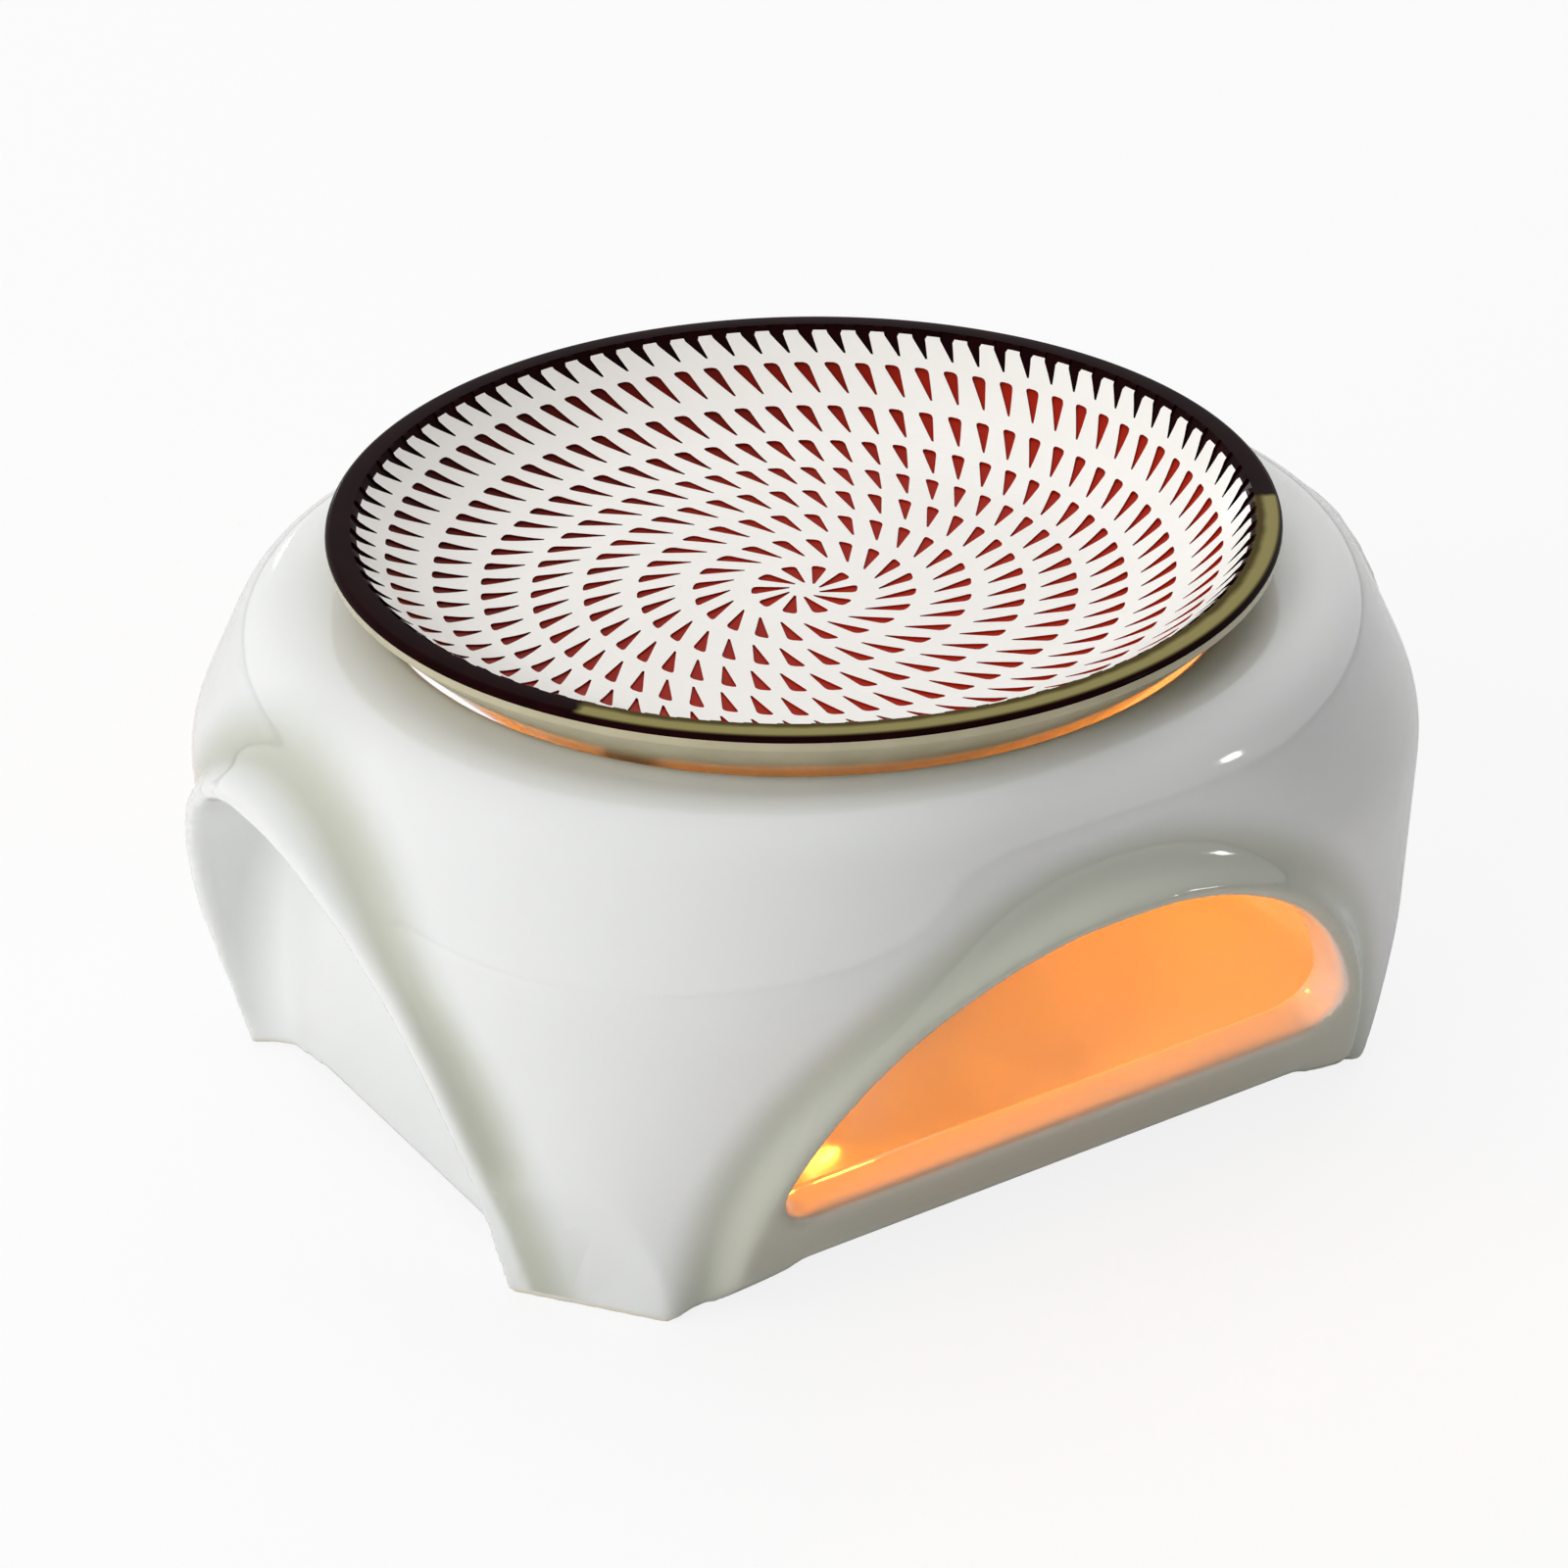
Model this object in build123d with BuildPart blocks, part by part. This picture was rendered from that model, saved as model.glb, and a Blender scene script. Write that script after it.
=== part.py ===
"""Candle-fired wax melt warmer.

A porcelain body on four corner feet has an arched window front and back, a blind arched
hand niche at each end and a round opening on top. A loose shallow dish stands on three lugs
in that opening, and a tealight stands on the floor of the chamber below it.

Millimetres. +Z is up, the windows face -Y and +Y, the niches face -X and +X, and the origin
is on the surface the warmer stands on, below the centre of the dish.
"""

import os
from math import atan, cos, sin, sqrt

from build123d import *

# Body: rounded oblong outline at the feet, at the belly and at the crown
foot_half_length = 54.0
foot_half_width = 43.4
foot_corner = 10.0
belly_half_width = 58.3
belly_stretch = 7.9
belly_flat = 7.3
belly_round = 16.0
body_height = 57.4
shoulder_height = 16.9
crown_inset_length = 5.9
crown_inset_width = 3.7
crown_flat = 1.2
crown_round = 7.5

# Body: walls, floor and feet
wall = 4.2
floor_height = 7.2
foot_length = 9.0
foot_width = 13.9
foot_ramp = 13.0
front_arch_rise = 5.6
skirt_thickness = 1.4
base_rise = 3.2
end_arch_rise = 1.8

# Windows, front and back
window_radius = 38.0
window_drop = 15.4
sill_step = 5.2
sill_corner = 4.0
window_lip_proud = 3.0
window_lip_upright = 0.018

# Hand niches, left and right
niche_half_width = 29.0
niche_spring_height = 8.0
niche_drop = 10.9
niche_panel_inset = 1.0
niche_panel_corner = 5.0
niche_lip_proud = 2.4
niche_lip_upright = 0.031

# Flared lips round the windows and niches
lip_thickness = 2.0
lip_root = 12.0
lip_side_spread = 6.0
lip_top_spread = 3.0
valley_round = 2.5

# Top opening, with the collar and lugs that carry the dish
opening_round = 2.0
dish_gap = 1.1
collar_thickness = 3.5
collar_depth = 10.9
lug_count = 3
lug_width = 8.0
lug_height = 3.4
lug_overlap = 3.0
lug_bite = 1.0

# Dish
dish_radius = 51.5
dish_rise = 13.9
dish_sink = 7.5
dish_foot_radius = 39.4
dish_foot_width = 4.0
dish_depth = 9.9
dish_thickness = 3.4
bowl_floor_radius = 29.0
bowl_floor_dip = 0.5
recess_drop = 0.3
rim_width = 3.0
rim_height = 1.8
rim_round = 0.8

# Tealight
cup_radius = 19.0
cup_height = 13.5
cup_wall = 0.4
cup_bead = 0.9
wax_height = 10.2
wax_gap = 0.05
tab_radius = 6.0
tab_thickness = 0.4
neck_radius = 1.6
neck_height = 3.5
wick_radius = 0.9
wick_height = 16.0

# Oval of the belly and the crown: straight stretches joined by corners that nearly meet
belly_half_length = belly_half_width + belly_stretch
belly_corner = belly_half_width - belly_flat
crown_half_length = belly_half_length - crown_inset_length
crown_half_width = belly_half_width - crown_inset_width
crown_corner = crown_half_width - crown_flat

# Heights that follow from the body
belly_height = body_height - shoulder_height
sill_height = floor_height + sill_step
window_centre_height = body_height - window_drop - window_radius
niche_rise = body_height - niche_drop - niche_spring_height
collar_bottom = body_height - collar_depth
dish_seat_height = body_height - dish_sink
dish_height = dish_seat_height + dish_rise

# Lips stand proud of the wall at the feet, and lean out a little less than the wall does
window_lip_reach = foot_half_width + window_lip_proud
window_lean = (belly_half_width - foot_half_width) / belly_height - window_lip_upright
niche_lip_reach = foot_half_length + niche_lip_proud
niche_lean = (belly_half_length - foot_half_length) / belly_height - niche_lip_upright
niche_panel_reach = foot_half_length - niche_panel_inset

# Gaps between the feet
front_foot_gap = foot_half_length - foot_length
end_foot_gap = foot_half_width - foot_width
skirt_reach = foot_half_width - skirt_thickness

# Opening that clears the sloping side of the dish
dish_side_flare = (dish_radius - dish_foot_radius) / (dish_rise - rim_height)
opening_radius = dish_foot_radius + (dish_sink - opening_round) * dish_side_flare + dish_gap

os.makedirs("parts", exist_ok=True)


def body_outlines(bottom, top, inset):
    """Outlines of the body at a bottom height, at the belly and at a top height, less an inset."""
    share = bottom / belly_height
    levels = (
        (
            bottom,
            foot_half_length + (belly_half_length - foot_half_length) * share,
            foot_half_width + (belly_half_width - foot_half_width) * share,
            foot_corner + (belly_corner - foot_corner) * share,
        ),
        (belly_height, belly_half_length, belly_half_width, belly_corner),
        (top, crown_half_length, crown_half_width, crown_corner),
    )
    outlines = []
    for height, half_length, half_width, corner in levels:
        with BuildSketch(Plane.XY.offset(height)) as outline:
            RectangleRounded(2 * (half_length - inset), 2 * (half_width - inset), corner - inset)
        outlines.append(outline.sketch)
    return outlines


def arch(plane, half_width, spring, rise, bottom):
    """Arch face: level bottom, upright sides to the spring line, half ellipse above it."""
    with BuildSketch(plane) as face:
        with BuildLine():
            Line((-half_width, spring), (-half_width, bottom))
            Line((-half_width, bottom), (half_width, bottom))
            Line((half_width, bottom), (half_width, spring))
            EllipticalCenterArc((0, spring), half_width, rise, start_angle=0, arc_size=180)
        make_face()
    return face.sketch


def lip_plane(outward, across, reach, lean):
    """Plane of a leaning lip, which faces outward and a little down."""
    tilt = atan(lean)
    facing = outward * cos(tilt) - Vector(0, 0, 1) * sin(tilt)
    return Plane(origin=outward * reach, x_dir=across, z_dir=facing)


def lip_arches(outward, across, reach, lean, half_width, spring, rise):
    """Outer arch of a leaning lip and the wider arch at its root, level with it inside the body."""
    stretch = sqrt(1 + lean**2)
    crest = arch(
        lip_plane(outward, across, reach, lean),
        half_width + lip_thickness,
        spring * stretch,
        (rise + lip_thickness) * stretch,
        -lip_root,
    )
    root = arch(
        lip_plane(outward, across, reach - lip_root, lean),
        half_width + lip_thickness + lip_side_spread,
        spring * stretch,
        (rise + lip_thickness + lip_top_spread) * stretch,
        -lip_root,
    )
    return [crest, root]


def foot_gap(plane, half_gap, rise):
    """Low arch between two feet, with a ramp up from each."""
    with BuildSketch(plane) as gap:
        with BuildLine():
            Polyline(
                (-half_gap, 0), (-half_gap + foot_ramp, rise),
                (half_gap - foot_ramp, rise), (half_gap, 0), close=True,
            )
        make_face()
    return gap.sketch


# Lips of the two windows
with BuildPart() as window_lips:
    loft(
        lip_arches(
            Vector(0, -1, 0), Vector(1, 0, 0), window_lip_reach, window_lean,
            window_radius, window_centre_height, window_radius,
        ),
        ruled=True,
    )
    mirror(about=Plane.XZ)
    split(bisect_by=Plane.XY, keep=Keep.TOP)

# Lips of the two hand niches
with BuildPart() as niche_lips:
    loft(
        lip_arches(
            Vector(-1, 0, 0), Vector(0, -1, 0), niche_lip_reach, niche_lean,
            niche_half_width, niche_spring_height, niche_rise,
        ),
        ruled=True,
    )
    mirror(about=Plane.YZ)
    split(bisect_by=Plane.XY, keep=Keep.TOP)

# Back of the two niches, which stands into the space inside the body
with BuildPart() as niche_backs:
    back_plane = Plane.YZ.offset(niche_panel_reach - wall)
    extrude(
        arch(back_plane, niche_half_width + wall, niche_spring_height, niche_rise + wall, 0),
        amount=belly_half_length,
    )
    mirror(about=Plane.YZ)

# Space inside the body
with BuildPart() as chamber:
    loft(body_outlines(floor_height, body_height - wall, wall), ruled=True)
    fillet(chamber.faces().sort_by(Axis.Z)[-1].edges(), crown_round - wall)
    add(niche_backs.part, mode=Mode.SUBTRACT)

# Recesses of the two niches, with a soft corner round the back panel
with BuildPart() as niche_recesses:
    extrude(
        arch(Plane.YZ.offset(niche_panel_reach), niche_half_width,
             niche_spring_height, niche_rise, -niche_rise),
        amount=belly_half_length,
    )
    fillet(niche_recesses.faces().sort_by(Axis.X)[0].edges(), niche_panel_corner)
    mirror(about=Plane.YZ)

with BuildPart() as body:
    loft(body_outlines(0, body_height, 0), ruled=True)
    fillet(body.edges().filter_by_position(Axis.Z, belly_height, belly_height), belly_round)
    fillet(body.faces().sort_by(Axis.Z)[-1].edges(), crown_round)
    add(window_lips.part)
    fillet(body.edges(Select.NEW).filter_by(GeomType.BSPLINE), valley_round)
    add(niche_lips.part)
    fillet(body.edges(Select.NEW).filter_by(GeomType.BSPLINE), valley_round)
    add(chamber.part, mode=Mode.SUBTRACT)
    add(niche_recesses.part, mode=Mode.SUBTRACT)
    with BuildSketch(Plane.XZ) as window:
        with Locations((0, window_centre_height)):
            Circle(window_radius)
        with Locations((0, sill_height)):
            Rectangle(2 * window_radius, 2 * body_height, align=(Align.CENTER, Align.MAX), mode=Mode.SUBTRACT)
        fillet(window.vertices(), sill_corner)
    extrude(amount=2 * belly_half_width, both=True, mode=Mode.SUBTRACT)
    extrude(
        foot_gap(Plane.XZ, front_foot_gap, base_rise),
        amount=2 * belly_half_width, both=True, mode=Mode.SUBTRACT,
    )
    for side in (1, -1):
        extrude(
            foot_gap(Plane.XZ.offset(side * skirt_reach), front_foot_gap, front_arch_rise),
            amount=side * belly_half_width, mode=Mode.SUBTRACT,
        )
    extrude(
        foot_gap(Plane.YZ, end_foot_gap, end_arch_rise),
        amount=2 * belly_half_length, both=True, mode=Mode.SUBTRACT,
    )
    with BuildSketch(Plane.XY.offset(collar_bottom)):
        Circle(opening_radius + collar_thickness)
    extrude(amount=body_height - collar_bottom)
    with BuildSketch(Plane.XY.offset(collar_bottom)):
        Circle(opening_radius)
    extrude(amount=body_height, mode=Mode.SUBTRACT)
    opening_edges = body.faces().sort_by(Axis.Z)[-1].edges().filter_by(GeomType.CIRCLE)
    fillet(opening_edges.sort_by(SortBy.RADIUS)[0], opening_round)
    lug_inner = dish_foot_radius - lug_overlap
    lug_outer = opening_radius + lug_bite
    with BuildSketch(Plane.XY.offset(dish_seat_height - lug_height)):
        with PolarLocations((lug_inner + lug_outer) / 2, lug_count, start_angle=90):
            Rectangle(lug_outer - lug_inner, lug_width)
    extrude(amount=lug_height)
body.part.label = "body"
export_step(body.part, "parts/body.step")

# Dish: bowl with a nearly flat floor and a coved side, on a turned foot ring, with a round-edged rim
bowl_radius = dish_radius - rim_width
bowl_bottom = dish_height - dish_depth
recess_radius = dish_foot_radius - dish_foot_width
recess_top = bowl_bottom - dish_thickness
with BuildPart() as dish:
    with BuildSketch(Plane.XZ) as dish_profile:
        with BuildLine():
            bowl_floor = TangentArc(
                (0, bowl_bottom), (bowl_floor_radius, bowl_bottom + bowl_floor_dip), tangent=(1, 0),
            )
            TangentArc(bowl_floor @ 1, (bowl_radius, dish_height), tangent=bowl_floor % 1)
            Polyline(
                (bowl_radius, dish_height),
                (dish_radius, dish_height),
                (dish_radius, dish_height - rim_height),
                (dish_foot_radius, dish_seat_height),
                (recess_radius, dish_seat_height),
                (recess_radius, recess_top + recess_drop),
            )
            TangentArc((0, recess_top), (recess_radius, recess_top + recess_drop), tangent=(1, 0))
            Line((0, recess_top), (0, bowl_bottom))
        make_face()
        fillet(dish_profile.vertices().group_by(Axis.Y)[-1], rim_round)
    revolve(axis=Axis.Z)
dish.part.label = "dish"
export_step(dish.part, "parts/dish.step")

# Tealight cup: thin pressed cup with a rolled bead round its mouth
cup_outer = cup_radius - cup_bead / 2
cup_floor = floor_height + cup_wall
with BuildPart() as tealight_cup:
    with BuildSketch(Plane.XZ):
        with Locations((0, floor_height)):
            Rectangle(cup_outer, cup_wall, align=Align.MIN)
        with Locations((cup_outer, floor_height)):
            Rectangle(cup_wall, cup_height - cup_bead / 2, align=(Align.MAX, Align.MIN))
        with Locations((cup_outer, floor_height + cup_height - cup_bead / 2)):
            Circle(cup_bead / 2)
    revolve(axis=Axis.Z)
tealight_cup.part.label = "tealight_cup"
export_step(tealight_cup.part, "parts/tealight_cup.step")

# Wick sustainer: flat tab with a crimped neck that holds the wick
with BuildPart() as wick_sustainer:
    with BuildSketch(Plane.XY.offset(cup_floor)):
        Circle(tab_radius)
    extrude(amount=tab_thickness)
    with BuildSketch(Plane.XY.offset(cup_floor)):
        Circle(neck_radius)
    extrude(amount=neck_height)
    with BuildSketch(Plane.XY.offset(cup_floor)):
        Circle(wick_radius + wax_gap)
    extrude(amount=neck_height, mode=Mode.SUBTRACT)
wick_sustainer.part.label = "wick_sustainer"
export_step(wick_sustainer.part, "parts/wick_sustainer.step")

# Wax: filling of the cup, moulded round the sustainer and the wick
with BuildPart() as tealight_wax:
    with BuildSketch(Plane.XY.offset(cup_floor)):
        Circle(cup_outer - cup_wall - wax_gap)
    extrude(amount=wax_height)
    with BuildSketch(Plane.XY.offset(cup_floor)):
        Circle(tab_radius + wax_gap)
    extrude(amount=tab_thickness + wax_gap, mode=Mode.SUBTRACT)
    with BuildSketch(Plane.XY.offset(cup_floor)):
        Circle(neck_radius + wax_gap)
    extrude(amount=neck_height + wax_gap, mode=Mode.SUBTRACT)
    with BuildSketch(Plane.XY.offset(cup_floor)):
        Circle(wick_radius + wax_gap)
    extrude(amount=wax_height, mode=Mode.SUBTRACT)
tealight_wax.part.label = "tealight_wax"
export_step(tealight_wax.part, "parts/tealight_wax.step")

# Wick: stiff braid that stands out of the wax
with BuildPart() as wick:
    with BuildSketch(Plane.XY.offset(cup_floor)):
        Circle(wick_radius)
    extrude(amount=wick_height)
wick.part.label = "wick"
export_step(wick.part, "parts/wick.step")
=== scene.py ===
from math import asin, atan2, cos, degrees, hypot, pi, radians, sin, sqrt, tan

import bpy
from mathutils import Matrix, Vector


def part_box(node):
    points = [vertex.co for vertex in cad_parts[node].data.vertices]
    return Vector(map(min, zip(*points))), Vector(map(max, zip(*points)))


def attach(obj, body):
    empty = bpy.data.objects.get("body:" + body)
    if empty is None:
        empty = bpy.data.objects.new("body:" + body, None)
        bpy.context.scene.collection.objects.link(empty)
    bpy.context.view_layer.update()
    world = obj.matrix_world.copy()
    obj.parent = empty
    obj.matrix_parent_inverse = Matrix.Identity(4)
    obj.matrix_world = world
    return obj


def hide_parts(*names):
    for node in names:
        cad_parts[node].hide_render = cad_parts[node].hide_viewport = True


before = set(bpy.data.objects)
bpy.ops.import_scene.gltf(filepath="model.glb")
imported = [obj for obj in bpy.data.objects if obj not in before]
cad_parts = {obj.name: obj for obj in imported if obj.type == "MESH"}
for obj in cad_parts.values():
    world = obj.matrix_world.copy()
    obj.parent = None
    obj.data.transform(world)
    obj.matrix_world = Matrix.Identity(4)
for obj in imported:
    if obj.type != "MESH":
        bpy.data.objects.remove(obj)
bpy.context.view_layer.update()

# A candle warmer: a glazed porcelain body, a loose dish with cut slip and a lit tealight.
# Metres, +Z up, in the frame's axes: the windows face -Y and +Y, the hand niches -X and +X.
MM = 0.001

# Camera, where the photograph was taken from
camera_azimuth = radians(32.247)
camera_elevation = radians(29.215)
camera_roll = radians(-0.945)
camera_distance = 559.15 * MM
camera_aim = Vector((4.59, 12.08, 22.65)) * MM
camera_lens = 112.5
sensor_width = 36.0

# Meshes: how close points are merged, and the edges that stay sharp when shaded
merge_distance = 0.002 * MM
soft_angle = radians(60)
crisp_angle = radians(35)

# Porcelain body: how far the glaze rounds its edges, least at the feet and most at the lips
glaze_voxel = 0.5 * MM
smoothing_factor = 0.5
edge_smoothing = 16
upper_edge_smoothing = 24
lip_smoothing = 50
foot_edge_heights = (4 * MM, 14 * MM)
lip_heights = (8 * MM, 18 * MM)
window_lip_places = (50 * MM, 57 * MM)
niche_lip_places = (59 * MM, 66 * MM)
weight_steps = 12
body_triangles = 190000
foot_glaze_line = 0.7 * MM

# Feet, cut straight across each corner, and sills, cut along their undersides
foot_facet_start = Vector((56.0, 29.6)) * MM
foot_facet_end = Vector((46.2, 42.4)) * MM
foot_facet_lean = 0.22
sill_trim_place = 43.5 * MM
sill_trim_height = 0.5 * MM
sill_trim_slope = 1.09

# Arches of the windows and niches
window_radius = 38.0 * MM
window_centre_height = 4.0 * MM
niche_half_width = 29.0 * MM
niche_spring_height = 8.0 * MM
niche_rise = 38.5 * MM

# Painted shade in the hollows outside each arch and on the ends of the sills; each pair of limits fades it in
# or out
window_hollow_start = (-22.0 * MM, -2.0 * MM)
window_hollow_end = (9.5 * MM, 4.0 * MM)
window_hollow_places = (36 * MM, 44 * MM)
niche_hollow_start = (1.6 * MM, 3.0 * MM)
niche_hollow_end = (9.0 * MM, 3.2 * MM)
niche_hollow_places = (42 * MM, 50 * MM)
facing_out = (0.0, 0.3)

# Dish
dish_low, dish_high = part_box("dish")
rim_radius = dish_high.x
rim_top = dish_high.z
foot_bottom = dish_low.z
slip_radius = 48.1 * MM
bowl_radius = 48.5 * MM
bowl_depth = 9.9 * MM
bowl_floor_radius = 29.0 * MM
bowl_floor_dip = 0.5 * MM
foot_radius = 39.4 * MM
foot_width = 4.0 * MM
recess_height = 0.6 * MM
rim_band = 1.9 * MM
rim_roll = 0.75 * MM
soft_edge = 0.4 * MM
soft_edge_steps = 3
rim_outer_steps = 6
rim_inner_steps = 5
cove_steps = 20
floor_steps = 12
turning_steps = 240

# Chatter marks cut through the slip of the dish, in rings that close up a little outwards
mark_rings = 8
first_mark_radius = 5.75 * MM
mark_pitch = 6.45 * MM
mark_pitch_loss = 0.115 * MM
marks_added_per_ring = 10
ring_turn = 0.64
mark_length = 4.1 * MM
mark_width = 1.9 * MM
mark_tip = 0.25 * MM
mark_corner = 0.55 * MM
mark_corner_steps = 2
mark_depth = 0.2 * MM
mark_skew = radians(30)
first_mark_skew = radians(12)
edge_marks = 90
edge_mark_length = 2.4 * MM
edge_mark_width = 1.5 * MM
edge_mark_flare = 2.4 * MM
cutter_height = 1.0 * MM

# The black rim glaze carries a painted reflection in olive gold round the front, between two directions
reflection_start = radians(-149)
reflection_end = radians(-30)
reflection_blend = radians(1.5)
rim_line = 0.7 * MM
# Side towards which the cut marks are painted redder, as lit, and away from which they are painted darker, as
# shade
lit_side = Vector((0.52, -0.85, 0))

# Tealight, and its flame, which starts below the tip of the wick and is blue to a little above it
wax_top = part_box("tealight_wax")[1].z
wick_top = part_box("wick")[1].z
char_height = 2 * MM
flame_root = 3 * MM
flame_blue = 4 * MM
flame_length = 17.0 * MM
flame_radius = 3.4 * MM
flame_fullness = 1.9
flame_taper = 0.8
flame_steps = 16
flame_sides = 32
flame_heart = 0.6
candle_power = 0.086

# Studio: a floor that the camera sees nearly white, dim light from all round, and lamps
floor_size = 6.0
floor_glow = 0.85
room_light = 0.13
room_seen = 1.0
lamp_target = Vector((0, 0, 30 * MM))
widest_spark = 0.1

# Sockets of a Mix node that mixes colours
mix_factor, mix_first, mix_second, mix_result = 0, 6, 7, 2


def hex_colour(code):
    """Linear RGBA of an sRGB hex colour."""
    channels = [int(code[i:i + 2], 16) / 255 for i in (1, 3, 5)]
    linear = [c / 12.92 if c <= 0.04045 else ((c + 0.055) / 1.055) ** 2.4 for c in channels]
    return (*linear, 1.0)


def add_node(owner, kind, settings=(), values=(), links=()):
    """Adds a node to a material or the world, sets its properties and input values, and links its inputs."""
    tree = owner.node_tree
    node = tree.nodes.new(kind)
    for name, value in dict(settings).items():
        setattr(node, name, value)
    for socket, value in dict(values).items():
        node.inputs[socket].default_value = value
    for socket, source in dict(links).items():
        tree.links.new(source, node.inputs[socket])
    return node


def new_material(name):
    """A node material with its Principled shader and the Object coordinates that it reads."""
    material = bpy.data.materials.new(name)
    material.use_nodes = True
    shader = material.node_tree.nodes["Principled BSDF"]
    place = add_node(material, "ShaderNodeTexCoord").outputs["Object"]
    return material, shader, place


def glazed_porcelain():
    """Slip-cast porcelain under a clear gloss glaze: cool white, wet-looking, a little translucent.

    The glaze waves faintly where it ran, is painted grey green as shade in the hollows beside the lips, and
    the feet were wiped bare before firing.
    """
    material, shader, place = new_material("glazed_porcelain")
    links = material.node_tree.links
    cloud = add_node(
        material, "ShaderNodeTexNoise", (), {"Scale": 1 / (30 * MM), "Detail": 2}, {"Vector": place},
    )
    white = add_node(
        material, "ShaderNodeMix", {"data_type": "RGBA"},
        {mix_first: hex_colour("#E2E4E3"), mix_second: hex_colour("#E9EAE8")},
        {mix_factor: cloud.outputs["Fac"]},
    )
    shade_layer = add_node(material, "ShaderNodeAttribute", {"attribute_name": "hollow_shade"})
    shade_amount = add_node(
        material, "ShaderNodeMapRange", {"interpolation_type": "SMOOTHSTEP"}, (),
        {"Value": shade_layer.outputs["Fac"]},
    )
    # Painted shade: the hollows outside the lips, noted on the mesh, are mixed towards grey green
    glaze = add_node(
        material, "ShaderNodeMix", {"data_type": "RGBA"},
        {mix_second: hex_colour("#BDBFB1")},
        {mix_factor: shade_amount.outputs["Result"], mix_first: white.outputs[mix_result]},
    )
    height = add_node(material, "ShaderNodeSeparateXYZ", (), (), {0: place})
    ragged = add_node(material, "ShaderNodeTexNoise", (), {"Scale": 1 / (4 * MM)}, {"Vector": place})
    line = add_node(
        material, "ShaderNodeMath", {"operation": "MULTIPLY_ADD"}, {1: 0.5 * MM, 2: foot_glaze_line},
        {0: ragged.outputs["Fac"]},
    )
    glazed = add_node(
        material, "ShaderNodeMapRange", {"interpolation_type": "SMOOTHSTEP"}, (),
        {"Value": height.outputs["Z"], "From Min": line.outputs[0]},
    )
    edge = add_node(material, "ShaderNodeMath", {"operation": "ADD"}, {1: 0.25 * MM}, {0: line.outputs[0]})
    links.new(edge.outputs[0], glazed.inputs["From Max"])
    colour = add_node(
        material, "ShaderNodeMix", {"data_type": "RGBA"},
        {mix_first: hex_colour("#E2DCD0")},
        {mix_factor: glazed.outputs["Result"], mix_second: glaze.outputs[mix_result]},
    )
    gloss = add_node(
        material, "ShaderNodeMapRange", (), {"To Min": 0.7, "To Max": 0.09},
        {"Value": glazed.outputs["Result"]},
    )
    wave = add_node(
        material, "ShaderNodeTexNoise", (), {"Scale": 1 / (9 * MM), "Detail": 1}, {"Vector": place},
    )
    bump = add_node(
        material, "ShaderNodeBump", (), {"Strength": 0.05, "Distance": 0.3 * MM},
        {"Height": wave.outputs["Fac"]},
    )
    links.new(colour.outputs[mix_result], shader.inputs["Base Color"])
    links.new(gloss.outputs["Result"], shader.inputs["Roughness"])
    links.new(bump.outputs["Normal"], shader.inputs["Normal"])
    shader.inputs["IOR"].default_value = 1.52
    shader.inputs["Subsurface Weight"].default_value = 0.15
    shader.inputs["Subsurface Radius"].default_value = (1.0, 0.7, 0.45)
    shader.inputs["Subsurface Scale"].default_value = 2.0 * MM
    shader.inputs["Coat Weight"].default_value = 0.35
    shader.inputs["Coat Roughness"].default_value = 0.03
    return material


def oxblood_glaze():
    """Copper-red glaze that shows in the cut marks, mottled: painted red towards the lit front right and near
    black as painted shade towards the back left.
    """
    material, shader, place = new_material("oxblood_glaze")
    mottle = add_node(
        material, "ShaderNodeTexNoise", (), {"Scale": 1 / (5 * MM), "Detail": 3}, {"Vector": place},
    )
    # Painted light and shade: the marks grow redder towards the lit side and darker away from it
    along = add_node(
        material, "ShaderNodeVectorMath", {"operation": "DOT_PRODUCT"}, {1: lit_side}, {0: place},
    )
    uneven = add_node(
        material, "ShaderNodeMath", {"operation": "MULTIPLY_ADD"}, {1: 24 * MM},
        {0: mottle.outputs["Fac"], 2: along.outputs["Value"]},
    )
    lit = add_node(
        material, "ShaderNodeMapRange", {"interpolation_type": "SMOOTHSTEP"},
        {"From Min": -45 * MM, "From Max": 25 * MM}, {"Value": uneven.outputs[0]},
    )
    colour = add_node(
        material, "ShaderNodeMix", {"data_type": "RGBA"},
        {mix_first: hex_colour("#150405"), mix_second: hex_colour("#A0200E")},
        {mix_factor: lit.outputs["Result"]},
    )
    material.node_tree.links.new(colour.outputs[mix_result], shader.inputs["Base Color"])
    shader.inputs["Roughness"].default_value = 0.4
    shader.inputs["Specular IOR Level"].default_value = 0.05
    return material


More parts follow.
